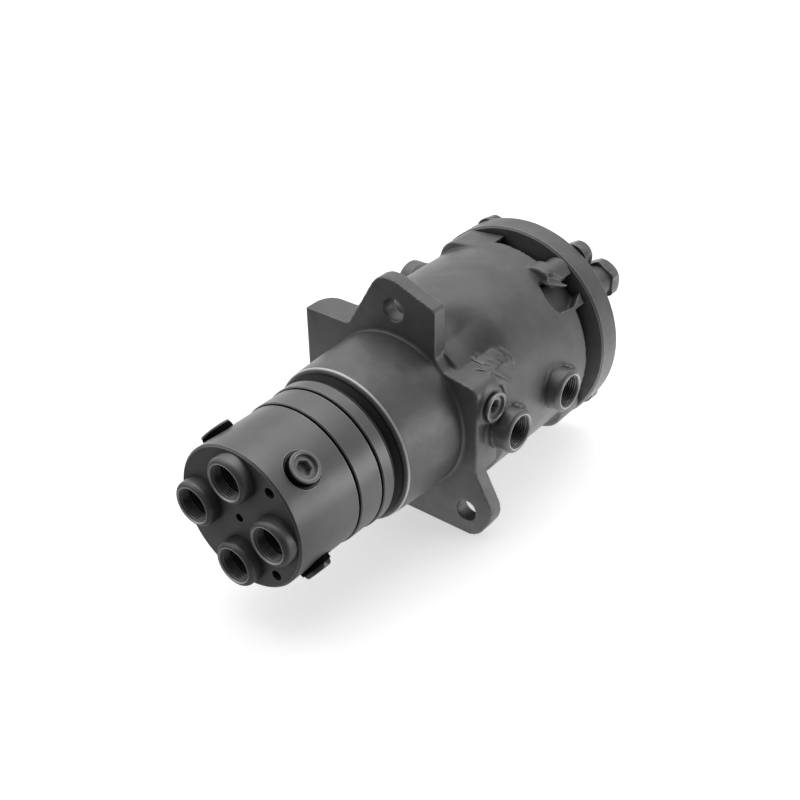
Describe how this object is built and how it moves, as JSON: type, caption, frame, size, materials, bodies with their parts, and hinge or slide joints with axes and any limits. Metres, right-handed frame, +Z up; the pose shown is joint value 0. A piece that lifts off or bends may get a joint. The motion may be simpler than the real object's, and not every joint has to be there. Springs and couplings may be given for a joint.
{
  "type": "hydraulic rotary union",
  "caption": "Hydraulic rotary union with an eared flange: a ported spindle head turns in a cast housing with side ports.",
  "frame": {"origin": "on the turning axis, in the plane of the flange's front face", "axes": "+Y along the turning axis from the ported face to the end cover; +X to the right seen from the ported face; +Z up, towards the single upper ear"},
  "size_m": [0.187, 0.3809, 0.1961],
  "materials": {
    "cast_body": "dark phosphated casting",
    "turned_steel": "turned, dark phosphated",
    "dark_hardware": "oiled dark steel",
    "seal_rubber": "matte",
    "seal_polymer": "matte",
    "bronze": "turned"
  },
  "bodies": {
    "housing": {"housing": "cast_body", "end_cover": "cast_body", "cover_bolts": "dark_hardware", "cover_lock_washers": "dark_hardware", "cover_seal": "seal_rubber", "front_bush": "bronze", "rear_bush": "bronze", "thrust_washer": "bronze", "channel_seals": "seal_polymer", "seal_energisers": "seal_rubber", "right_ports": "turned_steel", "left_ports": "turned_steel", "gallery_plug": "dark_hardware", "drain_plug": "dark_hardware"},
    "spindle": {"spindle": "turned_steel", "head_ports": "turned_steel", "head_plugs": "dark_hardware", "head_plug_washers": "seal_rubber", "spacer_ring": "turned_steel", "retainer_ring": "turned_steel", "dust_seal": "seal_rubber", "thrust_plate": "turned_steel", "thrust_plate_bolts": "dark_hardware", "thrust_plate_dowels": "dark_hardware"}
  },
  "joints": [
    {"name": "spindle_turn", "type": "hinge", "parent": "housing", "child": "spindle", "pos_m": [0, 0, 0], "axis": [0, 1, 0], "continuous": true}
  ]
}
